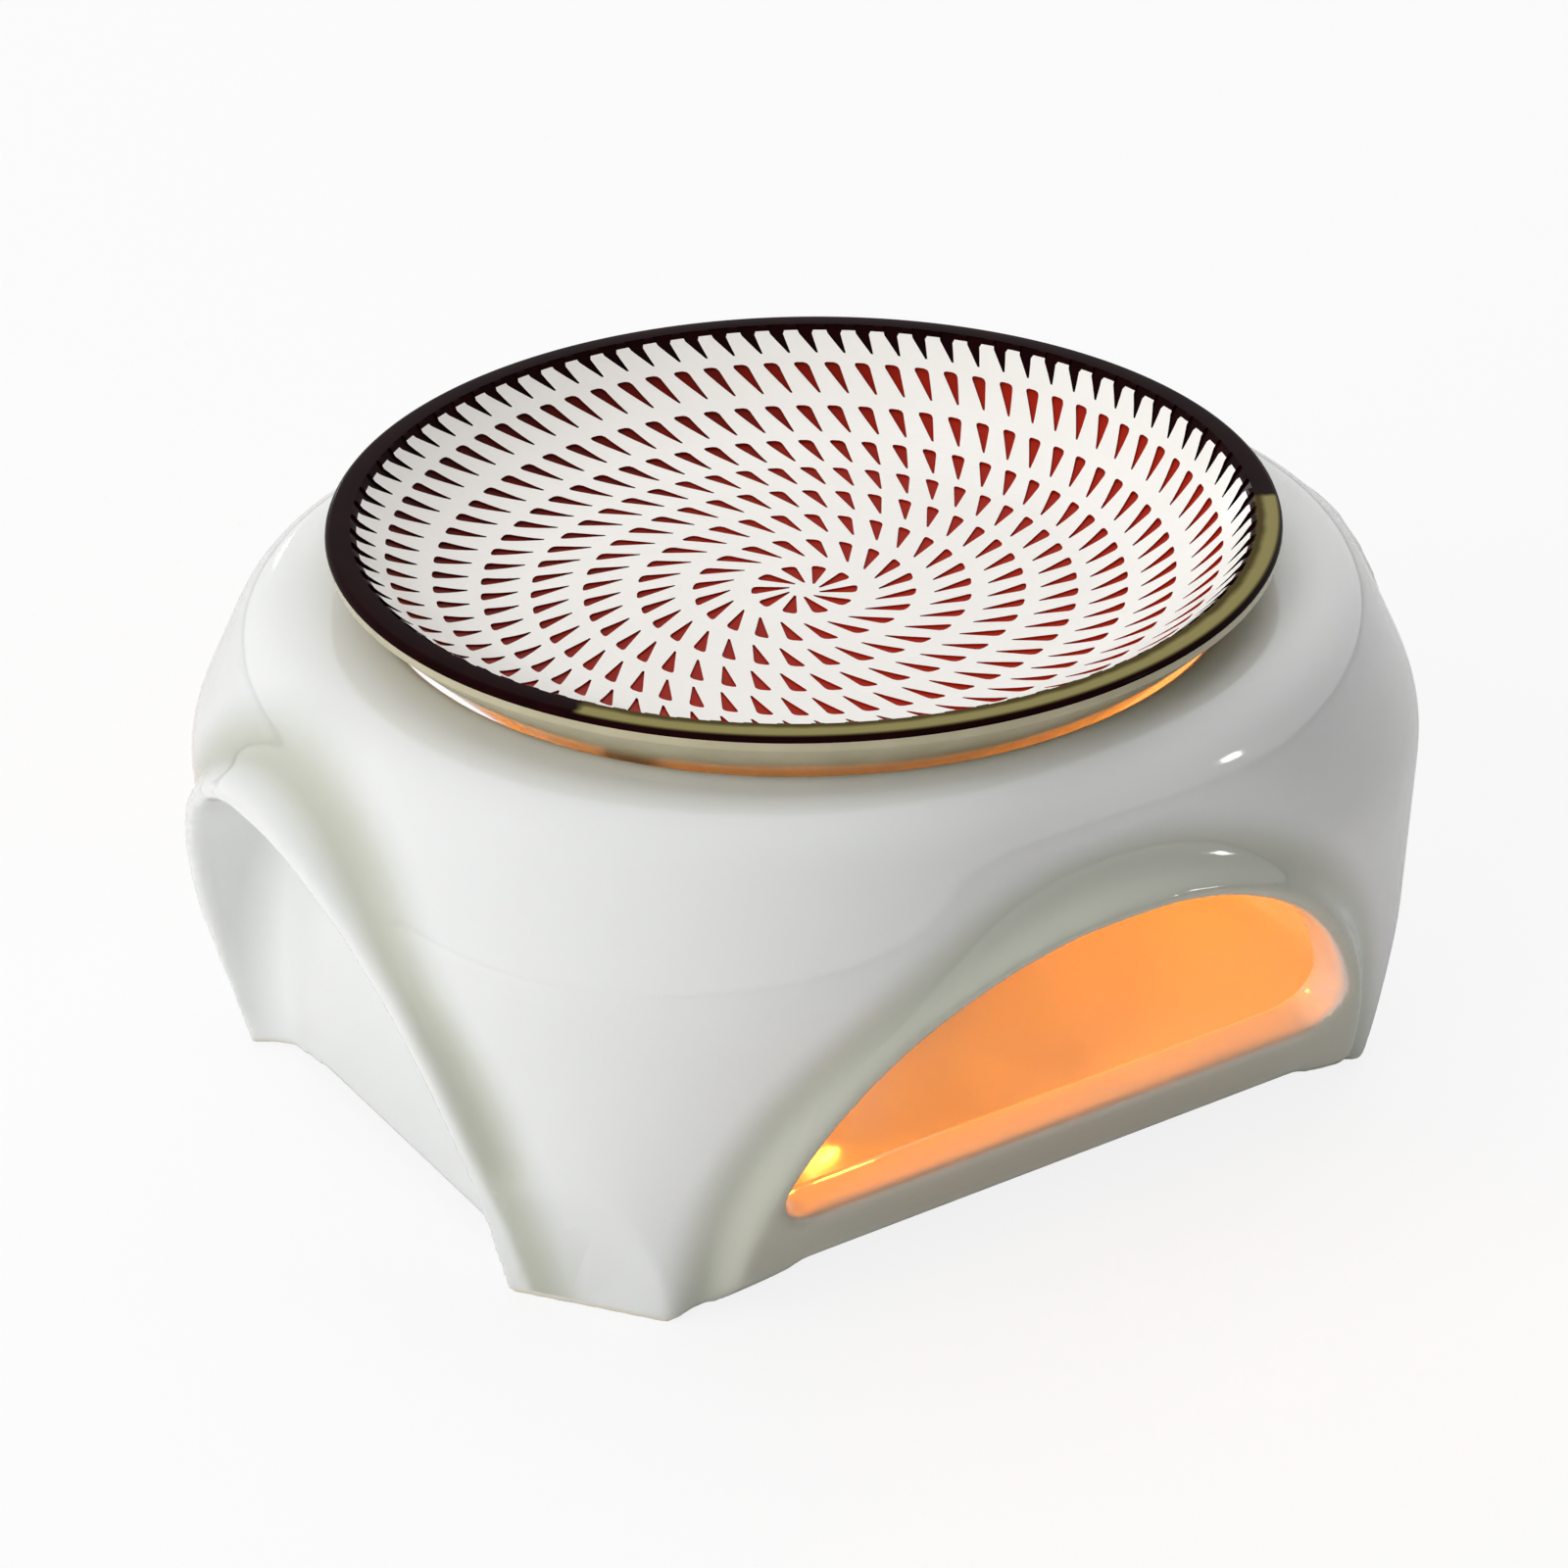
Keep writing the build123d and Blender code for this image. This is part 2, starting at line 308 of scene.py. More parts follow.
def rim_glaze_and_reflection():
    """Tenmoku iron glaze on the rim: near black, painted olive gold on top round the front as a painted
    reflection, lighter towards the outside as a painted highlight.

    It stays black in a thin line along both edges of the rim, and all over the back and the left.
    """
    material, shader, place = new_material("tenmoku_glaze_painted_reflection")
    part = add_node(material, "ShaderNodeSeparateXYZ", (), (), {0: place})
    direction = add_node(
        material, "ShaderNodeMath", {"operation": "ARCTAN2"}, (),
        {0: part.outputs["Y"], 1: part.outputs["X"]},
    )
    streak = add_node(
        material, "ShaderNodeTexNoise", (), {"Scale": 1 / (4 * MM), "Detail": 4}, {"Vector": place},
    )
    ragged = add_node(
        material, "ShaderNodeMath", {"operation": "MULTIPLY_ADD"}, {1: 2 * reflection_blend},
        {0: streak.outputs["Fac"], 2: direction.outputs[0]},
    )
    # Painted reflection: the rim turns olive gold only between two directions round the front
    begun = add_node(
        material, "ShaderNodeMapRange", {"interpolation_type": "SMOOTHSTEP"},
        {"From Min": reflection_start, "From Max": reflection_start + reflection_blend}, {"Value": ragged.outputs[0]},
    )
    ended = add_node(
        material, "ShaderNodeMapRange", {"interpolation_type": "SMOOTHSTEP"},
        {"From Min": reflection_end + reflection_blend, "From Max": reflection_end}, {"Value": ragged.outputs[0]},
    )
    flat = add_node(material, "ShaderNodeCombineXYZ", (), (), {0: part.outputs["X"], 1: part.outputs["Y"]})
    radius = add_node(material, "ShaderNodeVectorMath", {"operation": "LENGTH"}, (), {0: flat.outputs[0]})
    inner = add_node(
        material, "ShaderNodeMapRange", {"interpolation_type": "SMOOTHSTEP"},
        {"From Min": slip_radius + rim_line / 2, "From Max": slip_radius + rim_line},
        {"Value": radius.outputs["Value"]},
    )
    outer = add_node(
        material, "ShaderNodeMapRange", {"interpolation_type": "SMOOTHSTEP"},
        {"From Min": rim_radius - rim_line / 3, "From Max": rim_radius - rim_line},
        {"Value": radius.outputs["Value"]},
    )
    around = add_node(
        material, "ShaderNodeMath", {"operation": "MULTIPLY"}, (),
        {0: begun.outputs["Result"], 1: ended.outputs["Result"]},
    )
    across = add_node(
        material, "ShaderNodeMath", {"operation": "MULTIPLY"}, (),
        {0: inner.outputs["Result"], 1: outer.outputs["Result"]},
    )
    share = add_node(
        material, "ShaderNodeMath", {"operation": "MULTIPLY"}, (),
        {0: around.outputs[0], 1: across.outputs[0]},
    )
    black = add_node(
        material, "ShaderNodeMix", {"data_type": "RGBA"},
        {mix_first: hex_colour("#090203"), mix_second: hex_colour("#230608")},
        {mix_factor: streak.outputs["Fac"]},
    )
    run = add_node(
        material, "ShaderNodeMath", {"operation": "MULTIPLY_ADD"}, {1: rim_line},
        {0: streak.outputs["Fac"], 2: radius.outputs["Value"]},
    )
    # Painted highlight: the outer part of the olive top is lighter
    crest = add_node(
        material, "ShaderNodeMapRange", {"interpolation_type": "SMOOTHSTEP"},
        {"From Min": slip_radius + 2 * rim_line, "From Max": slip_radius + 3.2 * rim_line},
        {"Value": run.outputs[0]},
    )
    olive = add_node(
        material, "ShaderNodeMix", {"data_type": "RGBA"},
        {mix_first: hex_colour("#4C401E"), mix_second: hex_colour("#938A58")},
        {mix_factor: crest.outputs["Result"]},
    )
    colour = add_node(
        material, "ShaderNodeMix", {"data_type": "RGBA"}, (),
        {
            mix_factor: share.outputs[0],
            mix_first: black.outputs[mix_result],
            mix_second: olive.outputs[mix_result],
        },
    )
    material.node_tree.links.new(colour.outputs[mix_result], shader.inputs["Base Color"])
    shader.inputs["Roughness"].default_value = 0.14
    shader.inputs["Specular IOR Level"].default_value = 0.015
    return material


def ash_glaze():
    """Wood-ash glaze on the outside of the dish: grey olive and glossy, paler where it is thin."""
    material, shader, place = new_material("ash_glaze")
    run = add_node(material, "ShaderNodeMapping", (), {"Scale": (1, 1, 0.4)}, {"Vector": place})
    cloud = add_node(
        material, "ShaderNodeTexNoise", (), {"Scale": 1 / (6 * MM), "Detail": 3},
        {"Vector": run.outputs[0]},
    )
    colour = add_node(
        material, "ShaderNodeMix", {"data_type": "RGBA"},
        {mix_first: hex_colour("#A89F7E"), mix_second: hex_colour("#C8BFA2")},
        {mix_factor: cloud.outputs["Fac"]},
    )
    material.node_tree.links.new(colour.outputs[mix_result], shader.inputs["Base Color"])
    shader.inputs["Roughness"].default_value = 0.18
    shader.inputs["Coat Weight"].default_value = 0.3
    shader.inputs["Coat Roughness"].default_value = 0.05
    return material


def white_slip():
    """White clay slip brushed on while the dish turned: satin, with faint rings from the brush."""
    material, shader, place = new_material("white_slip")
    cloud = add_node(
        material, "ShaderNodeTexNoise", (), {"Scale": 1 / (7 * MM), "Detail": 3}, {"Vector": place},
    )
    colour = add_node(
        material, "ShaderNodeMix", {"data_type": "RGBA"},
        {mix_first: hex_colour("#F6F2EC"), mix_second: hex_colour("#FCF9F4")},
        {mix_factor: cloud.outputs["Fac"]},
    )
    brush = add_node(
        material, "ShaderNodeTexWave", {"wave_type": "RINGS", "rings_direction": "Z"},
        {"Scale": 1 / (3.2 * MM), "Distortion": 1.5, "Detail": 2, "Detail Scale": 1.0},
        {"Vector": place},
    )
    bump = add_node(
        material, "ShaderNodeBump", (), {"Strength": 0.06, "Distance": 0.1 * MM},
        {"Height": brush.outputs["Fac"]},
    )
    links = material.node_tree.links
    links.new(colour.outputs[mix_result], shader.inputs["Base Color"])
    links.new(bump.outputs["Normal"], shader.inputs["Normal"])
    shader.inputs["Roughness"].default_value = 0.3
    shader.inputs["Coat Weight"].default_value = 0.3
    shader.inputs["Coat Roughness"].default_value = 0.1
    return material


def pressed_aluminium():
    """Thin aluminium sheet pressed to a cup: bright, drawn into faint upright streaks."""
    material, shader, place = new_material("pressed_aluminium")
    streak = add_node(material, "ShaderNodeMapping", (), {"Scale": (1, 1, 0.08)}, {"Vector": place})
    grain = add_node(
        material, "ShaderNodeTexNoise", (), {"Scale": 1 / (0.8 * MM), "Detail": 3},
        {"Vector": streak.outputs[0]},
    )
    gloss = add_node(
        material, "ShaderNodeMapRange", (), {"To Min": 0.27, "To Max": 0.3},
        {"Value": grain.outputs["Fac"]},
    )
    colour = add_node(
        material, "ShaderNodeMix", {"data_type": "RGBA"},
        {mix_first: hex_colour("#D9DADB"), mix_second: hex_colour("#DEDFE0")},
        {mix_factor: grain.outputs["Fac"]},
    )
    links = material.node_tree.links
    links.new(colour.outputs[mix_result], shader.inputs["Base Color"])
    links.new(gloss.outputs["Result"], shader.inputs["Roughness"])
    shader.inputs["Metallic"].default_value = 1.0
    return material


def paraffin_wax():
    """Paraffin: milky, faintly clouded and translucent."""
    material, shader, place = new_material("paraffin_wax")
    cloud = add_node(
        material, "ShaderNodeTexNoise", (), {"Scale": 1 / (5 * MM), "Detail": 2}, {"Vector": place},
    )
    colour = add_node(
        material, "ShaderNodeMix", {"data_type": "RGBA"},
        {mix_first: hex_colour("#EFE6D2"), mix_second: hex_colour("#F8F3E8")},
        {mix_factor: cloud.outputs["Fac"]},
    )
    material.node_tree.links.new(colour.outputs[mix_result], shader.inputs["Base Color"])
    shader.inputs["Roughness"].default_value = 0.22
    shader.inputs["IOR"].default_value = 1.44
    shader.inputs["Subsurface Weight"].default_value = 0.5
    shader.inputs["Subsurface Radius"].default_value = (1.0, 0.6, 0.35)
    shader.inputs["Subsurface Scale"].default_value = 3.0 * MM
    return material


def tinned_steel():
    """Stamped tinned steel: grey, satin, with a fine rolled grain."""
    material, shader, place = new_material("tinned_steel")
    grain = add_node(
        material, "ShaderNodeTexNoise", (), {"Scale": 1 / (0.5 * MM), "Detail": 2}, {"Vector": place},
    )
    gloss = add_node(
        material, "ShaderNodeMapRange", (), {"To Min": 0.28, "To Max": 0.45},
        {"Value": grain.outputs["Fac"]},
    )
    material.node_tree.links.new(gloss.outputs["Result"], shader.inputs["Roughness"])
    shader.inputs["Base Color"].default_value = hex_colour("#B9B8B2")
    shader.inputs["Metallic"].default_value = 1.0
    return material


def charred_cotton():
    """Braided cotton wick: cream below, charred black from just above the wax to the tip."""
    material, shader, place = new_material("charred_cotton")
    height = add_node(material, "ShaderNodeSeparateXYZ", (), (), {0: place})
    char = add_node(
        material, "ShaderNodeMapRange", (),
        {"From Min": wax_top, "From Max": wax_top + char_height}, {"Value": height.outputs["Z"]},
    )
    colour = add_node(
        material, "ShaderNodeMix", {"data_type": "RGBA"},
        {mix_first: hex_colour("#D8CDB8"), mix_second: hex_colour("#1B1512")},
        {mix_factor: char.outputs["Result"]},
    )
    braid = add_node(
        material, "ShaderNodeTexVoronoi", (), {"Scale": 1 / (0.45 * MM)}, {"Vector": place},
    )
    bump = add_node(
        material, "ShaderNodeBump", (), {"Strength": 0.6, "Distance": 0.15 * MM},
        {"Height": braid.outputs["Distance"]},
    )
    links = material.node_tree.links
    links.new(colour.outputs[mix_result], shader.inputs["Base Color"])
    links.new(bump.outputs["Normal"], shader.inputs["Normal"])
    shader.inputs["Roughness"].default_value = 0.95
    return material


def candle_flame():
    """Burning wax vapour: blue and faint at the wick, yellow-white above it."""
    material, shader, place = new_material("candle_flame")
    height = add_node(material, "ShaderNodeSeparateXYZ", (), (), {0: place})
    share = add_node(
        material, "ShaderNodeMapRange", (),
        {"From Min": wick_top - flame_root, "From Max": wick_top + flame_blue},
        {"Value": height.outputs["Z"]},
    )
    colour = add_node(
        material, "ShaderNodeMix", {"data_type": "RGBA"},
        {mix_first: hex_colour("#3A55B0"), mix_second: hex_colour("#FFC46A")},
        {mix_factor: share.outputs["Result"]},
    )
    glow = add_node(
        material, "ShaderNodeMapRange", (), {"To Min": 0.6, "To Max": 6.0},
        {"Value": share.outputs["Result"]},
    )
    links = material.node_tree.links
    links.new(colour.outputs[mix_result], shader.inputs["Emission Color"])
    links.new(glow.outputs["Result"], shader.inputs["Emission Strength"])
    shader.inputs["Base Color"].default_value = hex_colour("#FFB45A")
    shader.inputs["Alpha"].default_value = 0.85
    return material


def activate(piece):
    """Makes a piece the active object, and the only one selected."""
    bpy.ops.object.select_all(action="DESELECT")
    bpy.context.view_layer.objects.active = piece
    piece.select_set(True)


def edit_all(piece):
    """Opens a piece in edit mode with all of it selected."""
    activate(piece)
    bpy.ops.object.mode_set(mode="EDIT")
    bpy.ops.mesh.select_all(action="SELECT")


def apply_modifier(piece, kind, **settings):
    """Adds a modifier to a piece and applies it."""
    activate(piece)
    modifier = piece.modifiers.new(kind.lower(), kind)
    for name, value in settings.items():
        setattr(modifier, name, value)
    bpy.ops.object.modifier_apply(modifier=modifier.name)


def smooth(piece, angle):
    """Shades a piece smooth, apart from edges sharper than the angle."""
    activate(piece)
    bpy.ops.object.shade_smooth_by_angle(angle=angle)


def turned(name, profile, steps):
    """A piece turned about the Z axis: one point, drawn along a profile of (radius, height) and spun."""
    bpy.ops.mesh.primitive_plane_add()
    piece = bpy.context.object
    piece.name = name
    edit_all(piece)
    bpy.ops.mesh.merge(type="CENTER")
    radius, height = profile[0]
    bpy.ops.transform.translate(value=(radius, 0, height))
    for next_radius, next_height in profile[1:]:
        step = (next_radius - radius, 0, next_height - height)
        bpy.ops.mesh.extrude_region_move(TRANSFORM_OT_translate={"value": step})
        radius, height = next_radius, next_height
    bpy.ops.mesh.select_all(action="SELECT")
    bpy.ops.mesh.spin(steps=steps, angle=2 * pi, center=(0, 0, 0), axis=(0, 0, 1))
    bpy.ops.mesh.select_all(action="SELECT")
    bpy.ops.mesh.remove_doubles(threshold=merge_distance)
    bpy.ops.mesh.normals_make_consistent(inside=False)
    bpy.ops.object.mode_set(mode="OBJECT")
    return piece


def arc(centre, radius, start, end, count):
    """Points of an arc in a profile, from one angle to another in degrees."""
    points = []
    for i in range(count + 1):
        angle = radians(start + (end - start) * i / count)
        points.append((centre[0] + radius * cos(angle), centre[1] + radius * sin(angle)))
    return points


def ramp(value, limits):
    """Share from 0 to 1 of the way between two limits."""
    low, high = limits
    return min(max((value - low) / (high - low), 0.0), 1.0)


def lip_share(place):
    """How far a place on the body belongs to the lips round its windows and niches."""
    window = ramp(abs(place.y), window_lip_places)
    niche = ramp(abs(place.x), niche_lip_places)
    return max(window, niche) * ramp(place.z, lip_heights)


def weigh(piece, name, share):
    """Vertex group in which each vertex has a weight from 0 to 1 by its place, in a few steps."""
    members = [[] for step in range(weight_steps + 1)]
    for vertex in piece.data.vertices:
        members[round(share(vertex.co) * weight_steps)].append(vertex.index)
    group = piece.vertex_groups.new(name=name)
    for step in range(weight_steps + 1):
        group.add(members[step], step / weight_steps, "REPLACE")


def painted_shade_share(place, normal):
    """How much painted shade a place on the body gets, from 0 to 1: the hollows outside the lips, where they
    face outwards, are painted darker.
    """
    outward = normal.dot(Vector((place.x, place.y, 0)).normalized())
    window = hypot(place.x, place.z - window_centre_height) - window_radius
    above_spring = max(place.z - niche_spring_height, 0)
    niche = (hypot(place.y / niche_half_width, above_spring / niche_rise) - 1) * niche_half_width
    in_window = ramp(window, window_hollow_start) * ramp(window, window_hollow_end)
    in_niche = ramp(niche, niche_hollow_start) * ramp(niche, niche_hollow_end)
    by_window = in_window * ramp(abs(place.y), window_hollow_places)
    by_niche = in_niche * ramp(abs(place.x), niche_hollow_places)
    return max(by_window, by_niche) * ramp(outward, facing_out)


def paint_hollow_shade(piece):
    """Notes on each vertex how much painted shade it gets in the hollows beside the lips, for the porcelain's
    colour.
    """
    shade_layer = piece.data.attributes.new("hollow_shade", "FLOAT", "POINT")
    for vertex in piece.data.vertices:
        shade_layer.data[vertex.index].value = painted_shade_share(vertex.co, vertex.normal)


def trim(place, facing):
    """Cuts away what the piece open in edit mode has beyond a plane, and closes the cut."""
    bpy.ops.mesh.select_all(action="SELECT")
    bpy.ops.mesh.bisect(plane_co=place, plane_no=facing, use_fill=True, clear_outer=True)


def trim_feet():
    """Trims the four feet across their corners, and the two sills and their lips' ends from below."""
    along = foot_facet_end - foot_facet_start
    out = Vector((along.y, -along.x)).normalized()
    for side_y in (1, -1):
        for side_x in (1, -1):
            place = (side_x * foot_facet_start.x, side_y * foot_facet_start.y, 0)
            trim(place, (side_x * out.x, side_y * out.y, -foot_facet_lean))
        trim((0, side_y * sill_trim_place, sill_trim_height), (0, side_y * sill_trim_slope, -1))


def make_body():
    """Porcelain body: the frame's solid with its feet cut straight and its edges drawn round by the glaze."""
    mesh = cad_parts["body"].data.copy()
    piece = bpy.data.objects.new("porcelain_body", mesh)
    bpy.context.scene.collection.objects.link(piece)
    edit_all(piece)
    bpy.ops.mesh.remove_doubles(threshold=merge_distance)
    trim_feet()
    bpy.ops.object.mode_set(mode="OBJECT")
    apply_modifier(piece, "REMESH", mode="VOXEL", voxel_size=glaze_voxel)
    weigh(piece, "upper_edges", lambda place: ramp(place.z, foot_edge_heights))
    weigh(piece, "lips", lip_share)
    rounds_by_group = {"": edge_smoothing, "upper_edges": upper_edge_smoothing, "lips": lip_smoothing}
    for group, rounds in rounds_by_group.items():
        apply_modifier(piece, "SMOOTH", factor=smoothing_factor, iterations=rounds, vertex_group=group)
    piece.vertex_groups.clear()
    triangles = sum(len(face.vertices) - 2 for face in piece.data.polygons)
    apply_modifier(piece, "DECIMATE", ratio=body_triangles / triangles)
    # Painted shade in the hollows beside the lips, noted on each vertex for the porcelain's colour
    paint_hollow_shade(piece)
    smooth(piece, soft_angle)
    piece.data.materials.clear()
    piece.data.materials.append(glazed_porcelain())
    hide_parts("body")
    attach(piece, "body")


# Bowl of the dish: a nearly flat floor, then a cove that runs on from it to the rim
floor_curve = (bowl_floor_radius**2 + bowl_floor_dip**2) / (2 * bowl_floor_dip)
bowl_bottom = rim_top - bowl_depth
cove_width = bowl_radius - bowl_floor_radius
cove_rise = bowl_depth - bowl_floor_dip
floor_slope = asin(bowl_floor_radius / floor_curve)
cove_curve = sqrt(cove_width**2 + cove_rise**2) / (2 * sin(atan2(cove_rise, cove_width) - floor_slope))
cove_centre = bowl_floor_radius - cove_curve * sin(floor_slope)
cove_centre_height = bowl_bottom + bowl_floor_dip + cove_curve * cos(floor_slope)


def bowl_height(radius):
    """Height of the bowl's surface at a distance from the dish's axis."""
    if radius < bowl_floor_radius:
        return bowl_bottom + floor_curve - sqrt(floor_curve**2 - radius**2)
    return cove_centre_height - sqrt(cove_curve**2 - (radius - cove_centre) ** 2)


def bowl_slope(radius):
    """Slope of the bowl's surface at a distance from the dish's axis."""
    if radius < bowl_floor_radius:
        return asin(radius / floor_curve)
    return asin((radius - cove_centre) / cove_curve)


def dish_profile():
    """Half section of the dish, from the middle of its foot recess round to the middle of its bowl."""
    recess_radius = foot_radius - foot_width
    recess_top = foot_bottom + recess_height
    rim_slope = degrees(bowl_slope(bowl_radius))
    rim_flat = bowl_radius + rim_roll * tan(bowl_slope(bowl_radius) / 2)
    points = [(0, recess_top), (recess_radius - soft_edge, recess_top)]
    points += arc((recess_radius + soft_edge, foot_bottom + soft_edge), soft_edge, 180, 270, soft_edge_steps)
    points += arc((foot_radius - soft_edge, foot_bottom + soft_edge), soft_edge, 270, 315, soft_edge_steps)
    band_edge = (rim_radius - soft_edge, rim_top - rim_band + soft_edge)
    points += arc(band_edge, soft_edge, -45, 0, soft_edge_steps)
    points += arc((rim_radius - rim_roll, rim_top - rim_roll), rim_roll, 0, 90, rim_outer_steps)
    points += arc((rim_flat, rim_top - rim_roll), rim_roll, 90, 90 + rim_slope, rim_inner_steps)
    for i in range(cove_steps):
        radius = slip_radius + (bowl_floor_radius - slip_radius) * i / cove_steps
        points.append((radius, bowl_height(radius)))
    for i in range(floor_steps + 1):
        radius = bowl_floor_radius * (1 - i / floor_steps)
        points.append((radius, bowl_height(radius)))
    return points


def select_outer_end(wedge):
    """Selects the vertices at the outer end of a wedge that is open in edit mode."""
    bpy.ops.mesh.select_all(action="DESELECT")
    bpy.ops.object.mode_set(mode="OBJECT")
    for vertex in wedge.data.vertices:
        vertex.select = vertex.co.x > 0
    bpy.ops.object.mode_set(mode="EDIT")


def wedge_cutter(length, width, skew, flare):
    """Cutter for one chatter mark: broad at its outer end, and skewed towards a pointed inner tip."""
    bpy.ops.mesh.primitive_plane_add(size=1)
    wedge = bpy.context.object
    edit_all(wedge)
    bpy.ops.transform.resize(value=(length, mark_tip, 1))
    select_outer_end(wedge)
    bpy.ops.transform.resize(value=(1, width / mark_tip, 1))
    bpy.ops.transform.translate(value=(0, length * tan(skew), 0))
    if flare:
        bpy.ops.mesh.extrude_region_move(TRANSFORM_OT_translate={"value": (flare / 2, 0, 0)})
        bpy.ops.transform.resize(value=(1, flare / width, 1))
    else:
        bpy.ops.mesh.bevel(offset=mark_corner, segments=mark_corner_steps, affect="VERTICES")
    bpy.ops.mesh.select_all(action="SELECT")
    bpy.ops.transform.translate(value=(0, -length * tan(skew) / 2, -mark_depth))
    bpy.ops.mesh.extrude_region_move(TRANSFORM_OT_translate={"value": (0, 0, cutter_height)})
    bpy.ops.mesh.select_all(action="SELECT")
    bpy.ops.mesh.normals_make_consistent(inside=False)
    bpy.ops.object.mode_set(mode="OBJECT")
    return wedge


def ring_of_cutters(wedge, length, outer_radius, count, turn_share):
    """Copies a wedge round the bowl, each copy lying on its slope, and takes the wedge itself away."""
    radius = outer_radius - length / 2 * cos(bowl_slope(outer_radius - length / 2))
    copies = []
    for i in range(count):
        copy = bpy.data.objects.new("chatter_mark", wedge.data.copy())
        bpy.context.scene.collection.objects.link(copy)
        copy.matrix_world = (
            Matrix.Rotation(2 * pi * (i + turn_share) / count, 4, "Z")
            @ Matrix.Translation((radius, 0, bowl_height(radius)))
            @ Matrix.Rotation(-bowl_slope(radius), 4, "Y")
        )
        copies.append(copy)
    bpy.data.objects.remove(wedge)
    return copies


def mark_cutters():
    """All chatter marks: rings of wedges, and a last ring that opens into the rim."""
    copies = []
    for ring in range(mark_rings):
        skew = mark_skew if ring else first_mark_skew
        outer_radius = first_mark_radius + mark_pitch * ring - mark_pitch_loss * ring**2
        wedge = wedge_cutter(mark_length, mark_width, skew, 0)
        count = marks_added_per_ring * (ring + 1)
        copies += ring_of_cutters(wedge, mark_length, outer_radius, count, ring_turn * ring)
    wedge = wedge_cutter(edge_mark_length, edge_mark_width, mark_skew, edge_mark_flare)
    copies += ring_of_cutters(wedge, edge_mark_length, slip_radius - mark_tip, edge_marks, 0)
    bpy.ops.object.select_all(action="DESELECT")
    for copy in copies:
        copy.select_set(True)
    bpy.context.view_layer.objects.active = copies[0]
    bpy.ops.object.join()
    return bpy.context.object


def axis_distance(face):
    """Distance of a face's middle from the dish's axis."""
    return Vector((face.center.x, face.center.y)).length


def make_dish():
    """Dish: turned bowl with white slip inside, cut through to the red glaze by chatter marks."""
    piece = turned("patterned_dish", dish_profile(), turning_steps)
    glazes = (ash_glaze(), rim_glaze_and_reflection(), white_slip(), oxblood_glaze())
    outside, rim, slip, cut = range(len(glazes))
    for glaze in glazes:
        piece.data.materials.append(glaze)
    for face in piece.data.polygons:
        if face.center.z > rim_top - rim_roll and axis_distance(face) > slip_radius:
            face.material_index = rim
        elif face.normal.z > 0:
            face.material_index = slip
        else:
            face.material_index = outside
    cutters = mark_cutters()
    for glaze in glazes:
        cutters.data.materials.append(glaze)
    for face in cutters.data.polygons:
        face.material_index = cut
    apply_modifier(piece, "BOOLEAN", operation="DIFFERENCE", object=cutters, solver="MANIFOLD")
    bpy.data.objects.remove(cutters)
    for face in piece.data.polygons:
        if face.material_index == cut and axis_distance(face) > slip_radius - edge_mark_length:
            face.material_index = rim
    smooth(piece, crisp_angle)
    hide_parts("dish")
    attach(piece, "dish")


def make_tealight():
    """Tealight: the frame's own cup, wax, sustainer and wick with their finishes, and its flame."""
    finishes = {
        "tealight_cup": pressed_aluminium(),
        "tealight_wax": paraffin_wax(),
        "wick_sustainer": tinned_steel(),
        "wick": charred_cotton(),
    }
    for node, finish in finishes.items():
        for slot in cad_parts[node].material_slots:
            slot.material = finish
    base = wick_top - flame_root
    profile = []
    for i in range(flame_steps + 1):
        share = i / flame_steps
        radius = flame_radius * flame_fullness * sqrt(share) * (1 - share) ** flame_taper
        profile.append((radius, base + flame_length * share))
    flame = turned("flame", profile, flame_sides)
    flame.visible_shadow = False
    smooth(flame, soft_angle)
    flame.data.materials.append(candle_flame())
    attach(flame, "tealight")
    bpy.ops.object.light_add(type="POINT", location=(0, 0, base + flame_length * flame_heart))
    lamp = bpy.context.object
    lamp.name = "candle_light"
    lamp.data.energy = candle_power
    lamp.data.color = hex_colour("#FF942A")[:3]
    lamp.data.shadow_soft_size = flame_radius
    lamp.parent = flame


def make_camera():
    """Camera at the photograph's place and angle."""
    back = Vector((
        -sin(camera_azimuth) * cos(camera_elevation),
        -cos(camera_azimuth) * cos(camera_elevation),
        sin(camera_elevation),
    ))
    right = Vector((cos(camera_azimuth), -sin(camera_azimuth), 0))
    up = back.cross(right)
    rolled_right = right * cos(camera_roll) + up * sin(camera_roll)
    rolled_up = up * cos(camera_roll) - right * sin(camera_roll)
    bpy.ops.object.camera_add()
    camera = bpy.context.object
    turn = Matrix((rolled_right, rolled_up, back)).transposed().to_4x4()
    camera.matrix_world = Matrix.Translation(camera_aim + back * camera_distance) @ turn
    camera.data.lens = camera_lens
    camera.data.sensor_width = sensor_width
    bpy.context.scene.camera = camera


def soft_box(name, direction, distance, size, energy):
    """Square studio lamp that faces the object; only a small one is mirrored in the glaze."""
    place = Vector(direction).normalized() * distance + lamp_target
    bpy.ops.object.light_add(type="AREA", location=place)
    lamp = bpy.context.object
    lamp.name = name
    lamp.data.shape = "SQUARE"
    lamp.data.size = size
    lamp.data.energy = energy
    lamp.visible_glossy = size < widest_spark
    lamp.rotation_mode = "QUATERNION"
    lamp.rotation_quaternion = Vector(direction).to_track_quat("Z", "Y")


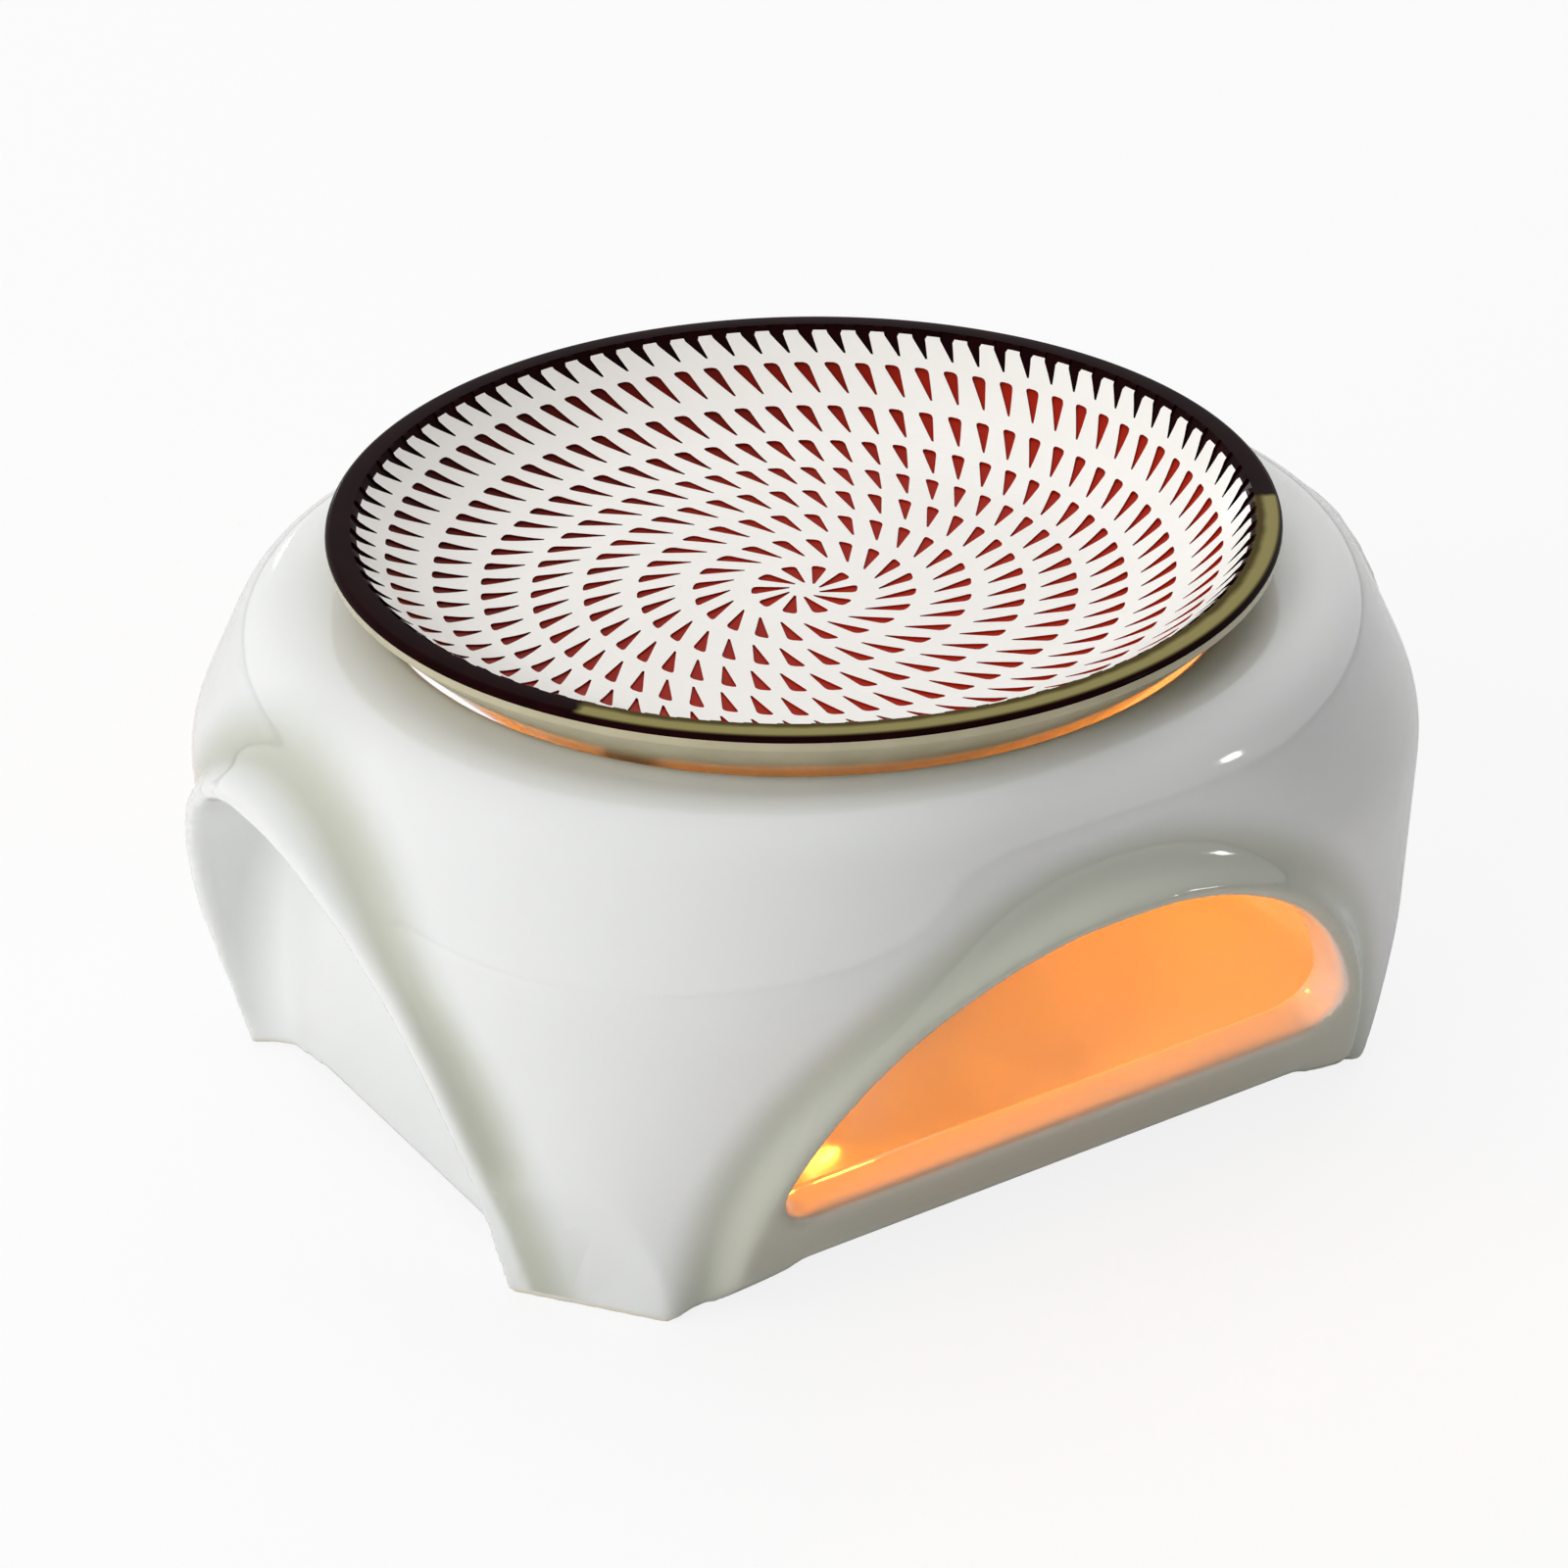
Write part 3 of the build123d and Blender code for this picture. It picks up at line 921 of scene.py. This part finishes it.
def make_stage():
    """White floor and room, soft boxes above and to the left, and two small lamps that spark in the glaze."""
    bpy.ops.mesh.primitive_plane_add(size=floor_size)
    floor = bpy.context.object
    floor.name = "floor"
    material, shader, _ = new_material("white_floor")
    shader.inputs["Base Color"].default_value = hex_colour("#F0F0F0")
    shader.inputs["Roughness"].default_value = 0.9
    path = add_node(material, "ShaderNodeLightPath")
    glow = add_node(material, "ShaderNodeEmission")
    mix = add_node(material, "ShaderNodeMixShader", (), (), {1: shader.outputs[0], 2: glow.outputs[0]})
    to_camera = add_node(
        material, "ShaderNodeMath", {"operation": "MULTIPLY"}, {1: floor_glow},
        {0: path.outputs["Is Camera Ray"]},
    )
    material.node_tree.links.new(to_camera.outputs[0], mix.inputs[0])
    output = material.node_tree.nodes["Material Output"]
    material.node_tree.links.new(mix.outputs[0], output.inputs["Surface"])
    floor.data.materials.append(material)

    world = bpy.data.worlds.new("studio")
    bpy.context.scene.world = world
    world.use_nodes = True
    background = world.node_tree.nodes["Background"]
    background.inputs["Color"].default_value = (1, 1, 1, 1)
    path = add_node(world, "ShaderNodeLightPath")
    shown = add_node(
        world, "ShaderNodeMath", {"operation": "MAXIMUM"}, (),
        {0: path.outputs["Is Camera Ray"], 1: path.outputs["Is Transmission Ray"]},
    )
    seen = add_node(
        world, "ShaderNodeMath", {"operation": "MAXIMUM"}, (),
        {0: shown.outputs[0], 1: path.outputs["Is Glossy Ray"]},
    )
    strength = add_node(
        world, "ShaderNodeMapRange", (), {"To Min": room_light, "To Max": room_seen},
        {"Value": seen.outputs[0]},
    )
    world.node_tree.links.new(strength.outputs["Result"], background.inputs["Strength"])

    soft_box("key_box", direction=(-0.92, -0.12, 0.42), distance=0.8, size=0.8, energy=5.2)
    soft_box("top_box", direction=(0.25, 0.42, 1.0), distance=1.0, size=1.2, energy=7.7)
    soft_box("shoulder_spark", direction=(0.686, -0.701, 0.194), distance=0.65, size=0.06, energy=0.16)
    soft_box("back_spark", direction=(0.13, 0.98, 0.2), distance=0.6, size=0.03, energy=0.05)

    bpy.context.scene.view_settings.view_transform = "Standard"


make_camera()
make_body()
make_dish()
make_tealight()
make_stage()
